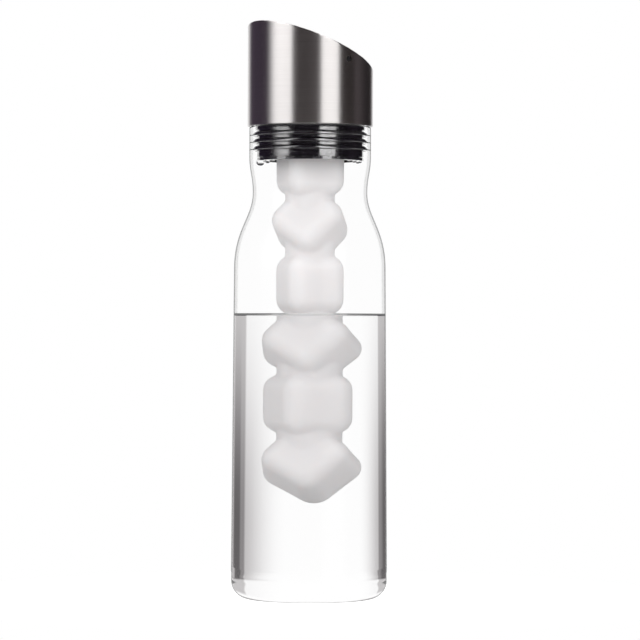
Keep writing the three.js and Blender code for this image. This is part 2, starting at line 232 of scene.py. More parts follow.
def turned(name, outline, closed=False, steps=ROUND_STEPS):
    """A piece turned about the Z axis: a plane drawn to a point, led along the outline and spun round."""
    start_over()
    bpy.ops.mesh.primitive_plane_add(size=MM, location=(0, 0, 0))
    piece = named(name)
    bpy.ops.object.mode_set(mode="EDIT")
    bpy.ops.mesh.select_mode(type="VERT")
    bpy.ops.mesh.select_all(action="SELECT")
    bpy.ops.mesh.merge(type="CENTER")
    stops = outline + outline[:1] if closed else outline
    bpy.ops.transform.translate(value=(stops[0][0] * MM, 0, stops[0][1] * MM))
    for here, there in zip(stops, stops[1:]):
        step = ((there[0] - here[0]) * MM, 0, (there[1] - here[1]) * MM)
        bpy.ops.mesh.extrude_region_move(TRANSFORM_OT_translate={"value": step})
    bpy.ops.mesh.select_all(action="SELECT")
    bpy.ops.mesh.spin(steps=steps, angle=2 * math.pi, center=(0, 0, 0), axis=(0, 0, 1))
    bpy.ops.mesh.select_all(action="SELECT")
    bpy.ops.mesh.remove_doubles(threshold=SAME_POINT)
    bpy.ops.mesh.normals_make_consistent(inside=False)
    bpy.ops.object.mode_set(mode="OBJECT")
    bpy.ops.object.shade_smooth_by_angle(angle=SMOOTH_ANGLE)
    return piece


def apply_modifier(piece, kind, **settings):
    """Adds a modifier with its settings and applies it."""
    activate(piece)
    modifier = piece.modifiers.new(kind.lower(), kind)
    for key, value in settings.items():
        setattr(modifier, key, value)
    bpy.ops.object.modifier_apply(modifier=modifier.name)


def cut(piece, cutter):
    """Takes the cutter's shape out of a piece, and the cutter out of the scene."""
    apply_modifier(piece, "BOOLEAN", operation="DIFFERENCE", object=cutter, solver="EXACT")
    bpy.data.objects.remove(cutter)


def bearing_towards(degrees):
    """The level direction at a bearing from the camera's, in degrees to the right."""
    angle = math.radians(degrees)
    return TOWARDS_CAMERA * math.cos(angle) + RIGHT * math.sin(angle)


def place(piece, matrix):
    """Moves a piece, and puts its place into its mesh."""
    activate(piece)
    piece.matrix_world = matrix
    bpy.ops.object.transform_apply(location=True, rotation=True, scale=True)


# Materials


class Wire:
    """A socket whose arithmetic adds Math nodes to its tree."""

    def __init__(self, socket):
        self.socket = socket
        self.tree = socket.id_data

    def math(self, operation, *values):
        return node(self.tree, "ShaderNodeMath", {"operation": operation}, dict(enumerate(values)))

    def __add__(self, other):
        return self.math("ADD", self, other)

    def __sub__(self, other):
        return self.math("SUBTRACT", self, other)

    def __rsub__(self, other):
        return self.math("SUBTRACT", other, self)

    def __mul__(self, other):
        return self.math("MULTIPLY", self, other)

    def __truediv__(self, other):
        return self.math("DIVIDE", self, other)

    def __rtruediv__(self, other):
        return self.math("DIVIDE", other, self)

    def __abs__(self):
        return self.math("ABSOLUTE", self)

    def __gt__(self, other):
        return self.math("GREATER_THAN", self, other)

    __radd__ = __add__
    __rmul__ = __mul__


def node(tree, kind, settings=None, inputs=None, output=0):
    """A node with its settings and the values or wires of its sockets, and a wire from one of its outputs."""
    made = tree.nodes.new(kind)
    for key, value in (settings or {}).items():
        if key == "stops":
            elements = made.color_ramp.elements
            while len(elements) < len(value):
                elements.new(0.5)
            for element, (position, colour) in zip(elements, value):
                element.position = position
                element.color = colour
        else:
            setattr(made, key, value)
    for key, value in (inputs or {}).items():
        if isinstance(value, Wire):
            tree.links.new(value.socket, made.inputs[key])
        else:
            made.inputs[key].default_value = value
    return Wire(made.outputs[output]) if made.outputs else None


def material(name):
    """An empty node material, and its tree."""
    made = bpy.data.materials.new(name)
    made.use_nodes = True
    made.node_tree.nodes.clear()
    return made, made.node_tree


def show(tree, surface):
    node(tree, "ShaderNodeOutputMaterial", {}, {"Surface": surface})


def object_noise(tree, stretch, detail=2.0, output="Fac"):
    """Noise in the piece's own place, with its own scale along each axis, in features per metre."""
    place_of = node(tree, "ShaderNodeTexCoord", {}, {}, "Object")
    scaled = node(tree, "ShaderNodeMapping", {}, {"Vector": place_of, "Scale": stretch})
    return node(tree, "ShaderNodeTexNoise", {}, {"Vector": scaled, "Scale": 1.0, "Detail": detail}, output)


def tint(tree, amount, dark, light):
    """A colour between two, by a wire from 0 to 1."""
    return node(
        tree, "ShaderNodeMix", {"data_type": "RGBA"}, {"Factor": amount, 6: dark + (1,), 7: light + (1,)}, 2
    )


def bump(tree, height, distance, strength=1.0):
    return node(tree, "ShaderNodeBump", {}, {"Height": height, "Distance": distance, "Strength": strength})


def ramp(tree, value, low, high, start=0.0, end=1.0):
    """Goes softly from one value to another while its input goes from low to high."""
    return node(
        tree, "ShaderNodeMapRange", {"interpolation_type": "SMOOTHSTEP"},
        {"Value": value, "From Min": low, "From Max": high, "To Min": start, "To Max": end},
    )


def along(tree, direction, axis):
    """Share of a direction that lies along an axis, or the product of two wires."""
    return node(tree, "ShaderNodeVectorMath", {"operation": "DOT_PRODUCT"}, {0: direction, 1: axis}, "Value")


def light_path(tree, output):
    return node(tree, "ShaderNodeLightPath", {}, {}, output)


def principled(tree, **inputs):
    return node(tree, "ShaderNodeBsdfPrincipled", {}, {k.replace("_", " "): v for k, v in inputs.items()})


def brushed_steel():
    """Satin stainless steel, brushed round the tube, so that light spreads up and down it."""
    made, tree = material("brushed_steel")
    streaks = object_noise(tree, (18, 18, 5200), 3.0)
    drift = object_noise(tree, (30, 30, 90), 2.0)
    shader = principled(
        tree,
        Base_Color=tint(tree, streaks, (0.56, 0.54, 0.53), (0.66, 0.64, 0.63)),
        Metallic=1.0,
        Roughness=0.25 + streaks * 0.06 + drift * 0.02,
        Anisotropic=0.82,
        Anisotropic_Rotation=0.25,
        Normal=bump(tree, streaks, 0.000012),
    )
    show(tree, shader)
    return made


def turned_steel():
    made, tree = material("turned_steel")
    rings = object_noise(tree, (900, 2600, 900), 2.0)
    shader = principled(
        tree,
        Base_Color=tint(tree, rings, (0.5, 0.5, 0.5), (0.62, 0.62, 0.62)),
        Metallic=1.0,
        Roughness=0.2 + rings * 0.15,
        Normal=bump(tree, rings, 0.00001),
    )
    show(tree, shader)
    return made


# Steel painted near black: the hinge pin stands for the shade inside the cap's pin hole
def painted_shade_steel():
    made, tree = material("painted_shade_steel")
    rings = object_noise(tree, (900, 2600, 900), 2.0)
    shader = principled(
        tree,
        Base_Color=tint(tree, rings, (0.03, 0.03, 0.032), (0.06, 0.06, 0.062)),
        Metallic=1.0,
        Roughness=0.35 + rings * 0.15,
    )
    show(tree, shader)
    return made


def black_silicone():
    """Dark silicone with the soft gloss and faint bloom of a moulded seal."""
    made, tree = material("black_silicone")
    bloom = object_noise(tree, (260, 260, 420), 4.0)
    shader = principled(
        tree,
        Base_Color=tint(tree, bloom, (0.003, 0.0027, 0.004), (0.007, 0.0065, 0.009)),
        Roughness=0.1 + bloom * 0.08,
        Specular_IOR_Level=1.0,
        Coat_Weight=1.0,
        Coat_Roughness=0.06,
        Coat_IOR=1.6,
        Normal=bump(tree, bloom, 0.00002),
    )
    show(tree, shader)
    return made


def black_plastic():
    """Black moulding, polished, with a faint grain."""
    made, tree = material("black_plastic")
    grain = object_noise(tree, (3000, 3000, 3000), 2.0)
    shader = principled(
        tree,
        Base_Color=tint(tree, grain, (0.008, 0.008, 0.009), (0.016, 0.016, 0.018)),
        Roughness=0.12 + grain * 0.1,
        Specular_IOR_Level=1.0,
        Coat_Weight=1.0,
        Coat_Roughness=0.08,
        Coat_IOR=1.6,
        Normal=bump(tree, grain, 0.00001),
    )
    show(tree, shader)
    return made


def frosted_plastic():
    """Milky plastic with a frosted skin, which lets some light into it."""
    made, tree = material("frosted_plastic")
    clouds = object_noise(tree, (45, 45, 45), 3.0)
    frost = object_noise(tree, (2600, 2600, 2600), 2.0)
    shader = principled(
        tree,
        Base_Color=tint(tree, clouds, (0.76, 0.745, 0.75), (0.82, 0.8, 0.805)),
        Roughness=0.5 + frost * 0.15,
        Subsurface_Weight=0.7,
        Subsurface_Radius=(1.0, 0.9, 0.85),
        Subsurface_Scale=0.012,
        Specular_IOR_Level=0.3,
        Normal=bump(tree, frost, 0.00002),
    )
    show(tree, shader)
    return made


def white_silicone():
    made, tree = material("white_silicone")
    bloom = object_noise(tree, (400, 400, 400), 3.0)
    shader = principled(
        tree,
        Base_Color=tint(tree, bloom, (0.75, 0.75, 0.75), (0.85, 0.85, 0.85)),
        Roughness=0.45 + bloom * 0.15,
    )
    show(tree, shader)
    return made


def see_through(tree, ior, colour, passed, sheen=0.0, **normal):
    """Clear stuff that bends what lies behind it, mirrors at a slant and lets light on to matt surfaces, with
    a painted grey glow where light would run out of bounces.
    """
    bent = node(tree, "ShaderNodeBsdfRefraction", {},
                {"Color": colour, "Roughness": 0.0, "IOR": ior, **normal})
    mirrored = node(tree, "ShaderNodeBsdfAnisotropic", {}, {"Roughness": 0.0, **normal})
    slant = node(tree, "ShaderNodeFresnel", {}, {"IOR": ior, **normal})
    slant = node(tree, "ShaderNodeMapRange", {}, {"Value": slant, "From Min": MIRRORS_FROM, "From Max": 1.0})
    clear = node(tree, "ShaderNodeMixShader", {}, {0: slant, 1: bent, 2: mirrored})
    if sheen:
        blurred = node(tree, "ShaderNodeBsdfAnisotropic", {}, {"Roughness": SHEEN_ROUGHNESS, **normal})
        clear = node(tree, "ShaderNodeMixShader", {}, {0: sheen, 1: clear, 2: blurred})
    # Painted light: past the bounce limit the surface glows grey instead of ending in black
    bounces_spent = light_path(tree, "Glossy Depth") + (light_path(tree, "Ray Depth") > LAST_BOUNCE) * LAST_MIRROR
    painted_glow = node(tree, "ShaderNodeEmission", {}, {"Color": LOST_LIGHT})
    clear = node(tree, "ShaderNodeMixShader", {}, {0: bounces_spent > LAST_MIRROR - 0.5, 1: clear, 2: painted_glow})
    straight = node(tree, "ShaderNodeBsdfTransparent", {}, {"Color": passed})
    lamp = light_path(tree, "Is Shadow Ray") + light_path(tree, "Diffuse Depth")
    return node(tree, "ShaderNodeMixShader", {}, {0: lamp > 0.5, 1: clear, 2: straight})


def clear_glass():
    """Clear blown glass, with the slight waves that blowing leaves, and painted shade along its edges."""
    made, tree = material("clear_glass")
    waves = object_noise(tree, (22, 22, 9), 1.0)
    edge = node(tree, "ShaderNodeLayerWeight", {}, {"Blend": 0.5}, "Facing")
    facing = node(tree, "ShaderNodeNewGeometry", {}, {}, "Normal")
    place_of = node(tree, "ShaderNodeTexCoord", {}, {}, "Object")
    from_axis = node(tree, "ShaderNodeVectorMath", {"operation": "MULTIPLY"}, {0: place_of, 1: (1, 1, 0)})
    outside = along(tree, facing, from_axis) > 0
    # Painted shade: the glass is tinted grey where it turns away, which draws dark lines along its edges
    colour = tint(tree, ramp(tree, edge, *EDGE_FACING) * outside, (1, 1, 1), EDGE_PAINTED_SHADE)
    entered = 1 - node(tree, "ShaderNodeNewGeometry", {}, {}, "Backfacing")
    sheen = entered * outside * GLASS_SHEEN
    wavy = bump(tree, waves, 0.0004, 0.25)
    show(tree, see_through(tree, GLASS_IOR, colour, GLASS_PASSES, sheen, Normal=wavy))
    return made


def water_clear():
    made, tree = material("water")
    show(tree, see_through(tree, WATER_IOR, (1, 1, 1, 1), WATER_PASSES))
    return made


def coolant_gel():
    made, tree = material("coolant_gel")
    clouds = object_noise(tree, (80, 80, 80), 3.0)
    shader = principled(
        tree,
        Base_Color=tint(tree, clouds, (0.85, 0.88, 0.9), (0.95, 0.96, 0.97)),
        Roughness=0.15 + clouds * 0.2,
    )
    show(tree, shader)
    return made


STEEL = brushed_steel()
TURNED = turned_steel()
PAINTED_SHADE_STEEL = painted_shade_steel()
SILICONE = black_silicone()
PLASTIC = black_plastic()
FROSTED = frosted_plastic()
SEAL_WHITE = white_silicone()
GLASS = clear_glass()
WATER = water_clear()
COOLANT = coolant_gel()


def finish_piece(piece, finish, slot, body, *nodes):
    """Gives a piece its material, lets it ride on its body, and lets it stand for its CAD nodes, which it
    hides; the slot is not used.
    """
    piece.data.materials.clear()
    piece.data.materials.append(finish)
    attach(piece, body)
    if nodes:
        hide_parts(*nodes)


# Glass


def glass_outline():
    foot_edge = BODY_FOOT_RADIUS - HEEL_ROUND
    punt_edge = foot_edge - FOOT_RING_WIDTH
    punt = [(punt_edge * t, PUNT_DEPTH * (1 - t * t)) for t in [i / 10 for i in range(11)]]
    lip = GLASS_WALL / 2
    waist_bore = WAIST_RADIUS - GLASS_WALL
    top_bore = BODY_TOP_RADIUS - GLASS_WALL
    outside = chain(
        punt,
        line((punt_edge, 0), (foot_edge, 0), 8),
        arc((foot_edge, HEEL_ROUND), HEEL_ROUND, -90, 0, 14),
        line((BODY_FOOT_RADIUS, HEEL_ROUND), (BODY_TOP_RADIUS, BODY_LENGTH), 24),
        bezier(
            (BODY_TOP_RADIUS, BODY_LENGTH), (BODY_TOP_RADIUS, BODY_LENGTH + SHOULDER_BULGE),
            (WAIST_RADIUS, WAIST_Z - SHOULDER_TUCK), (WAIST_RADIUS, WAIST_Z), 28,
        ),
        bezier(
            (WAIST_RADIUS, WAIST_Z), (WAIST_RADIUS, WAIST_Z + FLARE_REACH),
            (MOUTH_RADIUS, MOUTH_Z - FLARE_REACH), (MOUTH_RADIUS, MOUTH_Z), 14,
        ),
        line((MOUTH_RADIUS, MOUTH_Z), (MOUTH_RADIUS, RIM_Z - lip), 24),
    )
    rim = arc((MOUTH_RADIUS - lip, RIM_Z - lip), lip, 0, 180, 12)
    inside = chain(
        line((MOUTH_BORE, RIM_Z - lip), (MOUTH_BORE, MOUTH_Z), 24),
        bezier(
            (MOUTH_BORE, MOUTH_Z), (MOUTH_BORE, MOUTH_Z - FLARE_REACH),
            (waist_bore, WAIST_Z + FLARE_REACH), (waist_bore, WAIST_Z), 14,
        ),
        bezier(
            (waist_bore, WAIST_Z), (waist_bore, WAIST_Z - SHOULDER_TUCK),
            (top_bore, BODY_LENGTH + SHOULDER_BULGE), (top_bore, BODY_LENGTH), 28,
        ),
        line((top_bore, BODY_LENGTH), (FOOT_BORE, INNER_HEEL[1]), 24),
        arc(INNER_HEEL, INNER_HEEL_ROUND, 0, -90, 14),
        line((FLOOR_EDGE, BASE_THICKNESS), (0, BASE_THICKNESS), 16),
    )
    return chain(outside, rim, inside)


def bore_at(height):
    """Inner radius of the straight body at a height."""
    share = (height - HEEL_ROUND) / (BODY_LENGTH - HEEL_ROUND)
    return BODY_FOOT_RADIUS + (BODY_TOP_RADIUS - BODY_FOOT_RADIUS) * share - GLASS_WALL


def water_outline():
    top = WATER_LEVEL + MENISCUS_RISE
    wall = bore_at(top) + WATER_OVERLAP
    meniscus = []
    for i in range(MENISCUS_STEPS + 1):
        inwards = MENISCUS_REACH * (i / MENISCUS_STEPS) ** 2
        meniscus.append((wall - inwards, WATER_LEVEL + MENISCUS_RISE * math.exp(-inwards / MENISCUS_WIDTH)))
    return chain(
        line((0, BASE_THICKNESS - WATER_OVERLAP), (FLOOR_EDGE, BASE_THICKNESS - WATER_OVERLAP), 16),
        arc(INNER_HEEL, INNER_HEEL_ROUND + WATER_OVERLAP, -90, 0, 14),
        line((FOOT_BORE + WATER_OVERLAP, INNER_HEEL[1]), (wall, top), 20),
        meniscus,
        [(0, WATER_LEVEL)],
    )


finish_piece(turned("carafe_glass", glass_outline()), GLASS, "clear_glass", "carafe", "glass_body")
finish_piece(turned("water", water_outline()), WATER, "clear_glass", "carafe")


# Cap


def slanted_rim(depth=0.0):
    """A point and the normal of the plane that lies a depth below the cap's slanted rim."""
    normal = Vector((math.sin(CAP_SLANT), 0, math.cos(CAP_SLANT)))
    return Vector((0, 0, CAP_AXIS_Z * MM)) - normal * depth * MM, normal


def cap_tube():
    top = LID_Z + CAP_HEIGHT + CAP_SPARE
    rows = int(CAP_HEIGHT)
    outline = chain(
        line((CAP_BORE, top), (CAP_BORE, LID_Z + EDGE_BREAK), rows),
        [(CAP_BORE + EDGE_BREAK, LID_Z), (CAP_RADIUS - EDGE_BREAK, LID_Z)],
        line((CAP_RADIUS, LID_Z + EDGE_BREAK), (CAP_RADIUS, top), rows),
    )
    piece = turned("steel_cap", outline, steps=CAP_STEPS)
    activate(piece)
    bpy.ops.object.mode_set(mode="EDIT")
    bpy.ops.mesh.select_mode(type="EDGE")
    bpy.ops.mesh.select_all(action="SELECT")
    point, normal = slanted_rim()
    bpy.ops.mesh.bisect(plane_co=point, plane_no=normal, clear_outer=True)
    bpy.ops.mesh.select_all(action="DESELECT")
    bpy.ops.mesh.select_non_manifold(extend=False, use_wire=False, use_multi_face=False,
                                     use_non_contiguous=False, use_verts=False)
    bpy.ops.mesh.bridge_edge_loops()
    bpy.ops.mesh.select_all(action="SELECT")
    bpy.ops.mesh.normals_make_consistent(inside=False)
    bpy.ops.mesh.select_all(action="DESELECT")
    bpy.ops.mesh.edges_select_sharp(sharpness=CAP_SHARP)
    bpy.ops.mesh.bevel(offset=EDGE_BREAK * MM, segments=2, affect="EDGES")
    start_over()
    bpy.ops.mesh.primitive_cylinder_add(
        vertices=48, radius=PIN_HOLE_RADIUS * MM, depth=3 * CAP_RADIUS * MM,
        location=(PIN_OFFSET * MM, 0, PIN_Z * MM), rotation=(math.pi / 2, 0, 0),
    )
    cut(piece, named("pin_drill"))
    activate(piece)
    bpy.ops.object.shade_smooth_by_angle(angle=SMOOTH_ANGLE)
    return piece


def flap():
    """The plate in the slanted mouth, with a flat on each side beside the pin and broken edges."""
    start_over()
    bpy.ops.mesh.primitive_cylinder_add(
        vertices=ROUND_STEPS, radius=FLAP_RADIUS * MM, depth=FLAP_THICKNESS * MM
    )
    piece = named("flap_leaf")
    bpy.ops.object.mode_set(mode="EDIT")
    for side in (-1, 1):
        bpy.ops.mesh.select_all(action="SELECT")
        bpy.ops.mesh.bisect(
            plane_co=(0, side * FLAP_FLAT * MM, 0), plane_no=(0, side, 0), clear_outer=True, use_fill=True
        )
    bpy.ops.mesh.select_all(action="SELECT")
    bpy.ops.transform.resize(value=(1 / math.cos(CAP_SLANT), 1, 1))
    bpy.ops.mesh.select_all(action="DESELECT")
    bpy.ops.mesh.edges_select_sharp(sharpness=FLAP_SHARP)
    bpy.ops.mesh.bevel(offset=EDGE_BREAK * MM, segments=2, affect="EDGES")
    bpy.ops.object.mode_set(mode="OBJECT")
    point, normal = slanted_rim(FLAP_DEPTH + FLAP_THICKNESS / 2)
    on_axis = UP * (point.dot(normal) / normal.z)
    place(piece, Matrix.Translation(on_axis) @ Matrix.Rotation(CAP_SLANT, 4, "Y"))
    activate(piece)
    bpy.ops.object.shade_smooth_by_angle(angle=SMOOTH_ANGLE)
    return piece


finish_piece(cap_tube(), STEEL, "brushed_steel", "lid", "cap_shell")
finish_piece(flap(), STEEL, "brushed_steel", "flap", "flap_plate")


# Stopper


def sleeve_outline():
    """The silicone sleeve: a band under the flange, and fins that thin out and droop to rounded tips."""
    bottom = LID_Z + BEAD_HEIGHT + SEAT_GAP - STOPPER_DEPTH
    top = LID_Z - SEAT_GAP
    outline = [(SLEEVE_INNER, bottom), (SLEEVE_RADIUS, bottom)]
    for i in reversed(range(FIN_COUNT)):
        root = LID_Z - FIN_FIRST - i * FIN_PITCH
        tip = (SLEEVE_RADIUS + FIN_LENGTH, root - FIN_DROOP)
        outline += [(SLEEVE_RADIUS, root - FIN_ROOT / 2)]
        outline += arc((tip[0] - FIN_TIP / 2, tip[1]), FIN_TIP / 2, -120, -20, 5)
        outline += bezier(
            tip, (tip[0], tip[1] + FIN_TIP_RISE * FIN_DROOP),
            (SLEEVE_RADIUS + FIN_DOME * FIN_LENGTH, root + FIN_ROOT / 2),
            (SLEEVE_RADIUS, root + FIN_ROOT / 2), 10,
        )
    outline += [(SLEEVE_RADIUS, top - COLLAR_HEIGHT), (SLEEVE_RADIUS + COLLAR_WALL, top - COLLAR_HEIGHT)]
    outline += [(SLEEVE_RADIUS + COLLAR_WALL, top), (SLEEVE_INNER, top)]
    return outline


fins = turned("seal_fins", sleeve_outline(), closed=True)
finish_piece(fins, SILICONE, "black_silicone", "lid", "seal_sleeve")


def hanging_drops():
    """Water drops that hang from the stopper's lower edge, cut off where they cling to it."""
    edge = (LID_Z - STOPPER_DEPTH) * MM
    drops = []
    for bearing, radius in DROPS:
        start_over()
        bpy.ops.mesh.primitive_uv_sphere_add(segments=32, ring_count=20, radius=radius * MM)
        drop = named("drop")
        bpy.ops.object.mode_set(mode="EDIT")
        bpy.ops.mesh.select_all(action="SELECT")
        bpy.ops.transform.resize(value=(1, 1, DROP_FLATTEN))
        middle = bearing_towards(bearing) * (SLEEVE_INNER * MM) + UP * (edge - DROP_HANG * radius * MM)
        bpy.ops.transform.translate(value=middle)
        bpy.ops.mesh.bisect(plane_co=(0, 0, edge), plane_no=(0, 0, 1), clear_outer=True, use_fill=True)
        bpy.ops.object.mode_set(mode="OBJECT")
        drops.append(drop)
    place(drops[0], drops[0].matrix_world.copy())
    activate(*drops)
    bpy.ops.object.join()
    bpy.ops.object.shade_smooth_by_angle(angle=SMOOTH_ANGLE)
    return named("drops")


finish_piece(hanging_drops(), WATER, "clear_glass", "lid")


# Ice stick


def ice_stick():
    """Rounded cubes on a round column, upright and on a corner by turns, melted into one frosted moulding."""
    start_over()
    lowest = TOP_CUBE_Z - (CUBE_COUNT - 1) * CUBE_SIDE
    bpy.ops.mesh.primitive_cylinder_add(
        vertices=64, radius=CORE_RADIUS * MM, depth=(TOP_CUBE_Z - lowest) * MM,
        location=(0, 0, (TOP_CUBE_Z + lowest) / 2 * MM),
    )
    stick = named("ice_stick")
    bpy.ops.mesh.primitive_cylinder_add(
        vertices=64, radius=NECK_RADIUS * MM, depth=(NECK_TOP - TOP_CUBE_Z) * MM,
        location=(0, 0, (NECK_TOP + TOP_CUBE_Z) / 2 * MM),
    )
    pieces = [named("stick_neck")]
    for i in range(CUBE_COUNT):
        start_over()
        bpy.ops.mesh.primitive_cube_add(size=CUBE_SIDE * MM)
        cube = named("stick_cube")
        apply_modifier(cube, "BEVEL", width=CUBE_ROUND * MM, segments=8, limit_method="NONE")
        turn = Matrix.Rotation(STICK_TURN, 4, "Z")
        if i % 2:
            turn = turn @ Matrix.Rotation(CORNER_HEADING, 4, "Z")
            turn = turn @ Matrix.Rotation(CORNER_TILT, 4, "X") @ Matrix.Rotation(CORNER_SPIN, 4, "Z")
        place(cube, Matrix.Translation((0, 0, (TOP_CUBE_Z - i * CUBE_SIDE) * MM)) @ turn)
        pieces.append(cube)
    place(stick, stick.matrix_world.copy())
    activate(stick, *pieces)
    bpy.ops.object.join()
    apply_modifier(stick, "REMESH", mode="VOXEL", voxel_size=STICK_VOXEL * MM)
    apply_modifier(stick, "SMOOTH", factor=0.5, iterations=8)
    activate(stick)
    bpy.ops.object.shade_smooth()
    return stick


finish_piece(ice_stick(), FROSTED, "frosted_plastic", "ice_stick", "stick_shell")


# Pieces of the solids that stay as they are, with their finishes

for name, finish in {
    "seat_ring": PLASTIC,
    "stopper_body": PLASTIC,
    "flap_carrier": PLASTIC,
    # the hinge pin is dark as painted shade in its hole
    "hinge_pin": PAINTED_SHADE_STEEL,
    "counterweight": TURNED,
    "coolant_core": COOLANT,
    "stick_plug": FROSTED,
    "plug_seal": SEAL_WHITE,
}.items():
    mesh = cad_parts[name].data
    mesh.materials.clear()
    mesh.materials.append(finish)


# Studio. Bearings are in degrees to the right, as seen from the camera. A slope is the height of a direction.

FLOOR_RADIUS = 0.2
FLOOR_GREYS = ((0.8, 0.8, 0.8), (0.83, 0.83, 0.83))
FLOOR_GLOW = 0.8  # keeps the floor white to the camera
FLOOR_BOUNCE = (0.55, 0.55, 0.55, 1)  # the floor as it lights the carafe
NEAR_FOOT = (0.035, 0.049)  # metres from the axis between which the floor starts to show the studio's sides
WATER_BEND = 0.085  # metres by which water turns the bearing of a place on the floor

SOFTEN = 1.5
RIGHT_EDGE = 33.5  # how far the white backdrop reaches to each side of what lies behind the carafe
LEFT_EDGE = 41
# Each side of the backdrop: its sense, its edge, the degrees over which it falls off towards that edge, and
# the bearings between which the dark beside it gets deeper and gives way to some light again
SIDES = ((1, RIGHT_EDGE, 26, (38, 42), (52, 62)), (-1, LEFT_EDGE, 20, (44, 54), (76, 80)))
AROUND = 0.6  # share of the dark that is left past those bearings
CAMERA_SIDE = (95, 120)  # bearings between which the dark ends, as the studio is white behind the camera too
LOOKING_DOWN = -0.067  # slope at which the sides are darkest
EDGE_LEVELS = (0.55, 0.92)  # the backdrop at its edge, looking down and level
DARK_LEVELS = (0.26, 0.56)  # the dark beside it
DEEPER = (0.5, 1.0)  # share of that in its deeper part
DIM_TONE = (1, 0.94, 0.955)

NEARLY_LEVEL = (0.15, 0.3)  # slopes, up or down, between which the sides end
OVERHEAD = (0.35, 0.5)  # slopes between which it gets dark overhead
OVERHEAD_DARK = 0.6
STEEP_DOWN = (-0.6, -0.4)  # slopes below which the faces of glass and water mirror white
LOW_FILL = 0.345  # light on matt surfaces from below and from above, and what the front adds
TOP_FILL = 0.67
FRONT_FILL = 0.54

# The softboxes as the cap mirrors them, and as the sleeve mirrors them through the glass. Each has the
# bearings from the camera's direction between which it brightens and ends, and the slopes between which it
# brightens from its foot, with its radiance there and above.
ON_CAP = (((-88, -65, -36, -32), (0.055, 0.07, 0.0, 3.1)), ((18.5, 22, 53.5, 56), (0.0, 0.04, 0.9, 2.35)))
ON_SLEEVE = (((-88, -65, -49, -43), (0.0, 0.02, 0.0, 3.0)), ((18.5, 22, 53.5, 56), (0.0, 0.02, 0.0, 4.2)))
BOX_FOOT = (-0.25, -0.15)  # slopes between which both begin
BOX_SOFTEN = 0.02
CAP_SHOWS_TO = 0.6  # slope up to which they reach, and up to which the fins show them
SLEEVE_SHOWS_TO = 0.95
SLEEVE_DIMS = (0.5, 0.46, 0.58, 1)  # the dim room as the sleeve mirrors it
MIRROR_SOFTEN = 20  # degrees over which the mirrored backdrop falls off before its edge
WALL_FACES = 2.5  # light that passed fewer faces than this comes from the wall of the glass alone
WATER_FACES = 6.5  # light that passed more faces than this comes out of the water

# The lamps that stand for the softboxes on matt surfaces
LAMP_DISTANCE = 5
LAMP_BOTTOM = 0.154
LAMP_TOP = 3.9
LAMP_RADIANCE = 1.73


def bearing_of(tree, direction, ahead):
    """Bearing of a place or direction, in degrees to the right of another."""
    angle = node(tree, "ShaderNodeMath", {"operation": "ARCTAN2"},
                 {0: along(tree, direction, RIGHT), 1: along(tree, direction, ahead)})
    return angle * (180 / math.pi)


def pick(tree, choice, no, yes):
    return node(tree, "ShaderNodeMix", {"data_type": "RGBA"}, {"Factor": choice, 6: no, 7: yes}, 2)


def blend(tree, kind, first, second):
    """Two colours added or multiplied."""
    return node(tree, "ShaderNodeMix", {"data_type": "RGBA", "blend_type": kind},
                {"Factor": 1.0, 6: first, 7: second}, 2)


def grey(tree, level, tone=(1, 1, 1)):
    """A brightness as a colour, of a slight tone where it is dim."""
    return blend(tree, "MULTIPLY", tint(tree, level, tone, (1, 1, 1)), level)


def past_backdrop(tree, bearing, before=SOFTEN, over=SOFTEN):
    """How far a bearing lies past the backdrop's edges, softened over some degrees before and past them."""
    past_right = ramp(tree, bearing, RIGHT_EDGE - before, RIGHT_EDGE + over)
    return past_right + ramp(tree, bearing * -1, LEFT_EDGE - before, LEFT_EDGE + over)


def behind_glass(tree, bearing, slope):
    """The studio as glass shows it: white behind the carafe, dimmed towards its sides, and dark past them."""
    edge_level = ramp(tree, slope, LOOKING_DOWN, 0, *EDGE_LEVELS)
    dark = ramp(tree, slope, LOOKING_DOWN, 0, *DARK_LEVELS)
    deeper = ramp(tree, slope, LOOKING_DOWN, 0, *DEEPER)
    level = 1
    for sense, edge, fade, depth, end in SIDES:
        out = bearing * sense
        past = ramp(tree, out, edge - SOFTEN, edge + SOFTEN)
        dimmed = ramp(tree, out, edge - fade, edge) * (edge_level - 1)
        darkened = past * (dark * (1 + ramp(tree, out, *depth) * (deeper - 1)) - edge_level)
        level = level + (dimmed + darkened) * ramp(tree, out, *end, 1, AROUND)
    return level


def off_camera_side(tree, bearing):
    """1 on the backdrop's half of the studio and 0 on the camera's."""
    return 1 - ramp(tree, abs(bearing), *CAMERA_SIDE)


def softboxes(tree, direction, slope, dark, boxes, top):
    """The dim room with the two softboxes, as steel and glass mirror them, each brighter from its foot up."""
    facing = bearing_of(tree, direction, TOWARDS_CAMERA)
    level = 0
    for (first, full, falling, last), foot in boxes:
        strip = ramp(tree, facing, first, full) * (1 - ramp(tree, facing, falling, last))
        level = strip * ramp(tree, slope, *foot) + level
    below_top = 1 - ramp(tree, slope, top - BOX_SOFTEN, top + BOX_SOFTEN)
    level = level * ramp(tree, slope, *BOX_FOOT) * below_top
    return blend(tree, "ADD", dark, grey(tree, level))


def dark_studio(tree, direction):
    """The dim room beside the softboxes: a violet wall at the left, and a darker one at the right."""
    facing = bearing_of(tree, direction, TOWARDS_CAMERA)
    stops = [
        (-180, (0.075, 0.058, 0.085)), (-95, (0.06, 0.046, 0.066)), (-25, (0.055, 0.048, 0.049)),
        (10, (0.08, 0.07, 0.073)), (64, (0.038, 0.032, 0.032)), (86, (0.038, 0.032, 0.032)),
        (94, (0.1, 0.086, 0.092)), (110, (0.066, 0.057, 0.06)), (125, (0.03, 0.026, 0.028)),
    ]
    settings = {"stops": [((bearing + 180) / 360, colour + (1,)) for bearing, colour in stops]}
    return node(tree, "ShaderNodeValToRGB", settings, {"Fac": (facing + 180) / 360})


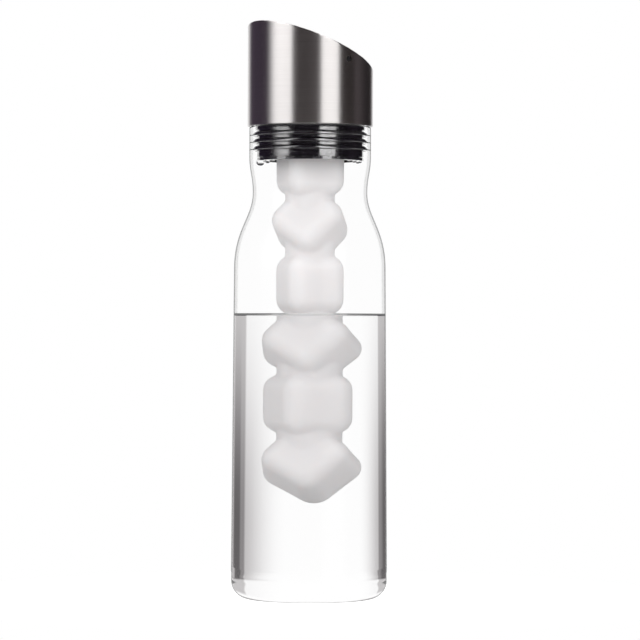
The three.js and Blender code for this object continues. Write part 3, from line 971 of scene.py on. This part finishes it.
def studio_world():
    """White behind the carafe and to the camera, dark at the sides, and an even fill on matt surfaces."""
    world = bpy.data.worlds.new("studio")
    bpy.context.scene.world = world
    world.use_nodes = True
    world.cycles.sampling_method = "NONE"
    tree = world.node_tree
    tree.nodes.clear()
    direction = node(tree, "ShaderNodeTexCoord", {}, {}, "Generated")
    slope = along(tree, direction, UP)
    bearing = bearing_of(tree, direction, AWAY)
    white = (1, 1, 1, 1)

    # Seen through the glass
    level = 1 - ramp(tree, abs(slope), *NEARLY_LEVEL)
    sides = level * off_camera_side(tree, bearing) * (behind_glass(tree, bearing, slope) - 1)
    overhead = ramp(tree, slope, *OVERHEAD)
    through = grey(tree, (1 + sides) * (1 - overhead * OVERHEAD_DARK), DIM_TONE)

    # Mirrored by the lid
    dark = dark_studio(tree, direction)
    lit = softboxes(tree, direction, slope, dark, ON_CAP, CAP_SHOWS_TO)
    mirrored = pick(tree, past_backdrop(tree, bearing, MIRROR_SOFTEN, 0), white, lit)

    # Mirrored inside the glass, where the wall alone shows the backdrop
    shaded = blend(tree, "MULTIPLY", dark, SLEEVE_DIMS)
    inside = softboxes(tree, direction, slope, shaded, ON_SLEEVE, SLEEVE_SHOWS_TO)
    past = past_backdrop(tree, bearing)
    off_white = past.math("MAXIMUM", past, 1 - level) * ramp(tree, slope, *STEEP_DOWN)
    in_wall = 1 - (light_path(tree, "Transmission Depth") > WALL_FACES)
    in_wall = in_wall * (along(tree, direction, AWAY) > 0)
    mirrored_inside = pick(tree, off_white * (1 - in_wall), white, inside)

    # On matt surfaces
    towards = along(tree, direction, TOWARDS_CAMERA)
    front = towards.math("MAXIMUM", towards, 0.0)
    fill = grey(tree, ramp(tree, slope, -1, 1, LOW_FILL, TOP_FILL) + front * FRONT_FILL)

    mirrored = pick(tree, light_path(tree, "Is Transmission Ray"), mirrored, mirrored_inside)
    out_of_water = light_path(tree, "Transmission Depth") > WATER_FACES
    light = pick(tree, (light_path(tree, "Glossy Depth") > 0.5) * (1 - out_of_water), through, mirrored)
    light = pick(tree, light_path(tree, "Is Camera Ray"), light, white)
    light = pick(tree, light_path(tree, "Diffuse Depth") > 0.5, light, fill)
    background = node(tree, "ShaderNodeBackground", {}, {"Color": light, "Strength": 1.0})
    node(tree, "ShaderNodeOutputWorld", {}, {"Surface": background})


def pale_floor():
    """A floor that is white to the camera and keeps the shadow; through glass it glows, with the studio's
    dark sides painted on it.
    """
    start_over()
    bpy.ops.mesh.primitive_circle_add(vertices=96, radius=FLOOR_RADIUS, fill_type="NGON")
    floor = named("floor")
    made, tree = material("pale_floor")
    speckle = object_noise(tree, (60, 60, 60), 2.0)
    matt = node(tree, "ShaderNodeBsdfDiffuse", {}, {"Color": tint(tree, speckle, *FLOOR_GREYS)})
    glow = node(tree, "ShaderNodeEmission", {}, {"Color": (1, 1, 1, 1), "Strength": FLOOR_GLOW})
    lit = node(tree, "ShaderNodeAddShader", {}, {0: matt, 1: glow})
    spot = node(tree, "ShaderNodeTexCoord", {}, {}, "Object")
    distance = node(tree, "ShaderNodeVectorMath", {"operation": "LENGTH"}, {0: spot}, "Value")
    # Painted shade: seen through glass the floor glows dimmer towards the studio's sides, as the backdrop
    # does
    bearing = bearing_of(tree, spot, AWAY)
    bent = bearing * (1 + WATER_BEND / distance)
    sides = off_camera_side(tree, bearing) * (behind_glass(tree, bent, LOOKING_DOWN) - 1)
    seen = grey(tree, ramp(tree, distance, *NEAR_FOOT) * sides + 1, DIM_TONE)
    through = node(tree, "ShaderNodeEmission", {}, {"Color": seen, "Strength": 1.0})
    in_glass = light_path(tree, "Is Transmission Ray")
    lit = node(tree, "ShaderNodeMixShader", {}, {0: in_glass, 1: lit, 2: through})
    bounced = light_path(tree, "Diffuse Depth") > 0.5
    dull = node(tree, "ShaderNodeBsdfDiffuse", {}, {"Color": FLOOR_BOUNCE})
    show(tree, node(tree, "ShaderNodeMixShader", {}, {0: bounced, 1: lit, 2: dull}))
    floor.data.materials.append(made)


def softbox(name, bearing, spread):
    """A soft lamp at a bearing from the camera's direction, in degrees to the right, that covers an angle."""
    width = 2 * LAMP_DISTANCE * math.tan(math.radians(spread / 2))
    height = LAMP_TOP - LAMP_BOTTOM
    lamp = bpy.data.lights.new(name, "AREA")
    lamp.shape = "RECTANGLE"
    lamp.size = width
    lamp.size_y = height
    lamp.energy = LAMP_RADIANCE * math.pi * width * height
    holder = bpy.data.objects.new(name, lamp)
    bpy.context.scene.collection.objects.link(holder)
    towards = bearing_towards(bearing)
    holder.location = towards * LAMP_DISTANCE + UP * ((LAMP_TOP + LAMP_BOTTOM) / 2)
    holder.rotation_euler = towards.to_track_quat("Z", "Y").to_euler()
    holder.visible_glossy = False
    holder.visible_transmission = False


def camera():
    lens = bpy.data.cameras.new("camera")
    lens.lens = LENS_MM
    lens.sensor_width = SENSOR_MM
    holder = bpy.data.objects.new("camera", lens)
    bpy.context.scene.collection.objects.link(holder)
    aside = RIGHT * CAMERA_SIDE_STEP + UP * CAMERA_HEIGHT
    holder.location = TOWARDS_CAMERA * CAMERA_DISTANCE + aside
    roll = Matrix.Rotation(CAMERA_ROLL, 3, "Z")
    holder.rotation_euler = (AWAY.to_track_quat("-Z", "Y").to_matrix() @ roll).to_euler()
    bpy.context.scene.camera = holder


studio_world()
pale_floor()
softbox("softbox_left", bearing=-57, spread=44)
softbox("softbox_right", bearing=38, spread=35)
camera()
bpy.context.scene.view_settings.view_transform = "Standard"
